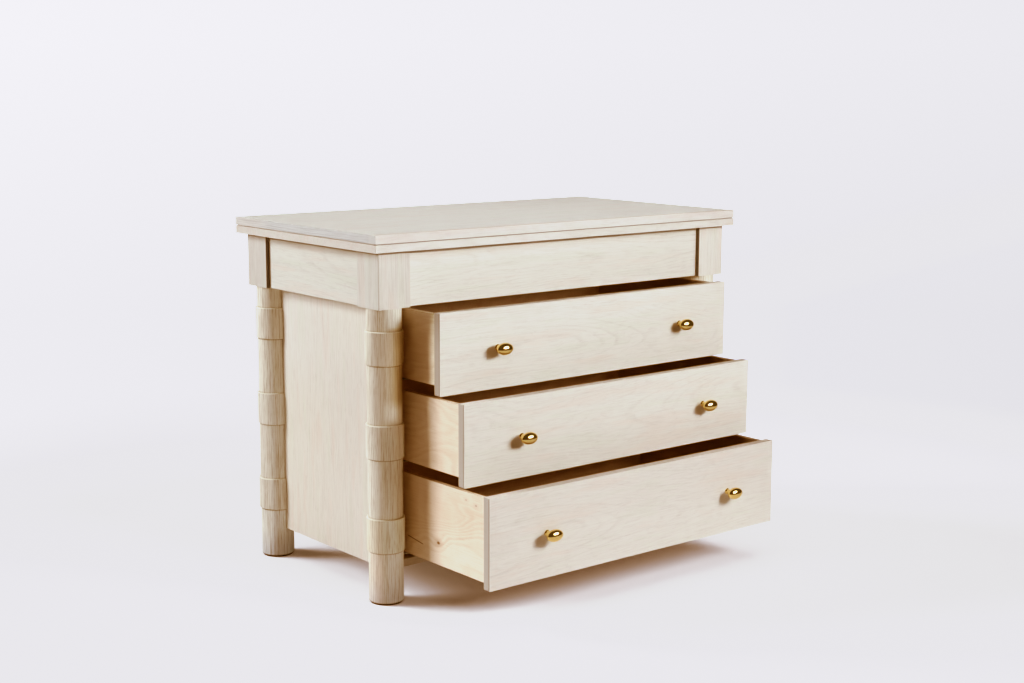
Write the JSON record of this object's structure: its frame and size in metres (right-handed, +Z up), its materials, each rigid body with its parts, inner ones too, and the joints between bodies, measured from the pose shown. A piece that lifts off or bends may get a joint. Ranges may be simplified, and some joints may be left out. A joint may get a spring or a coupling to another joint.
{
  "type": "dresser",
  "caption": "Dresser with pull-out drawers on turned ring columns, square corner blocks, a deep frieze and an overhanging layered top; stores clothes and linen.",
  "frame": {"origin": "on the floor, at the centre of the bounding box in the rest pose, with the drawers partly open as pictured", "axes": "+X to the dresser's right as seen from the front, +Y to its back, so drawers open towards -Y, +Z up"},
  "size_m": [1.14, 0.909, 0.86],
  "materials": {
    "top_oak": "whitewashed oak, grey-beige, satin",
    "frame_oak": "whitewashed oak, satin",
    "panel_oak": "whitewashed oak veneer, satin",
    "column_oak": "turned oak, limed, open grain",
    "front_oak": "whitewashed oak, satin",
    "birch_ply": "clear-coated birch plywood",
    "brass": "polished",
    "screw_steel": "zinc plated",
    "zinc_steel": "zinc plated sheet",
    "black_plastic": "matt",
    "glide_plastic": "matt"
  },
  "bodies": {
    "case": {"top_upper_board": "top_oak", "top_front_lipping": "top_oak", "top_lower_board": "top_oak", "corner_block_front_left": "frame_oak", "corner_block_front_right": "frame_oak", "corner_block_rear_left": "frame_oak", "corner_block_rear_right": "frame_oak", "column_front_left": "column_oak", "column_front_right": "column_oak", "column_rear_left": "column_oak", "column_rear_right": "column_oak", "foot_glides": "glide_plastic", "frieze_front": "frame_oak", "frieze_rear": "frame_oak", "frieze_left": "frame_oak", "frieze_right": "frame_oak", "side_panel_left": "panel_oak", "side_panel_right": "panel_oak", "back_panel": "panel_oak", "bottom_panel": "panel_oak", "slide_cleats_1": "birch_ply", "slide_rails_1": "zinc_steel", "slide_cleats_2": "birch_ply", "slide_rails_2": "zinc_steel", "slide_cleats_3": "birch_ply", "slide_rails_3": "zinc_steel"},
    "drawer_1": {"drawer_1_front": "front_oak", "drawer_1_box_front": "birch_ply", "drawer_1_side_left": "birch_ply", "drawer_1_side_right": "birch_ply", "drawer_1_back": "birch_ply", "drawer_1_bottom": "birch_ply", "drawer_1_runners": "zinc_steel", "drawer_1_lock_clips": "black_plastic", "drawer_1_knobs": "brass", "drawer_1_knob_screws": "screw_steel"},
    "slides_1": {"slide_middles_1": "zinc_steel"},
    "drawer_2": {"drawer_2_front": "front_oak", "drawer_2_box_front": "birch_ply", "drawer_2_side_left": "birch_ply", "drawer_2_side_right": "birch_ply", "drawer_2_back": "birch_ply", "drawer_2_bottom": "birch_ply", "drawer_2_runners": "zinc_steel", "drawer_2_lock_clips": "black_plastic", "drawer_2_knobs": "brass", "drawer_2_knob_screws": "screw_steel"},
    "slides_2": {"slide_middles_2": "zinc_steel"},
    "drawer_3": {"drawer_3_front": "front_oak", "drawer_3_box_front": "birch_ply", "drawer_3_side_left": "birch_ply", "drawer_3_side_right": "birch_ply", "drawer_3_back": "birch_ply", "drawer_3_bottom": "birch_ply", "drawer_3_runners": "zinc_steel", "drawer_3_lock_clips": "black_plastic", "drawer_3_knobs": "brass", "drawer_3_knob_screws": "screw_steel"},
    "slides_3": {"slide_middles_3": "zinc_steel"}
  },
  "joints": [
    {"name": "drawer_1_slide", "type": "slide", "parent": "case", "child": "drawer_1", "axis": [0, -1, 0], "range_m": [-0.113, 0.307]},
    {"name": "slides_1_travel", "type": "slide", "parent": "case", "child": "slides_1", "axis": [0, -1, 0], "range_m": [-0.0565, 0.1535]},
    {"name": "drawer_2_slide", "type": "slide", "parent": "case", "child": "drawer_2", "axis": [0, -1, 0], "range_m": [-0.201, 0.219]},
    {"name": "slides_2_travel", "type": "slide", "parent": "case", "child": "slides_2", "axis": [0, -1, 0], "range_m": [-0.1005, 0.1095]},
    {"name": "drawer_3_slide", "type": "slide", "parent": "case", "child": "drawer_3", "axis": [0, -1, 0], "range_m": [-0.291, 0.129]},
    {"name": "slides_3_travel", "type": "slide", "parent": "case", "child": "slides_3", "axis": [0, -1, 0], "range_m": [-0.1455, 0.0645]}
  ],
  "couplings": [
    {"joint": "slides_1_travel", "follows": "drawer_1_slide", "ratio": 0.5},
    {"joint": "slides_2_travel", "follows": "drawer_2_slide", "ratio": 0.5},
    {"joint": "slides_3_travel", "follows": "drawer_3_slide", "ratio": 0.5}
  ]
}
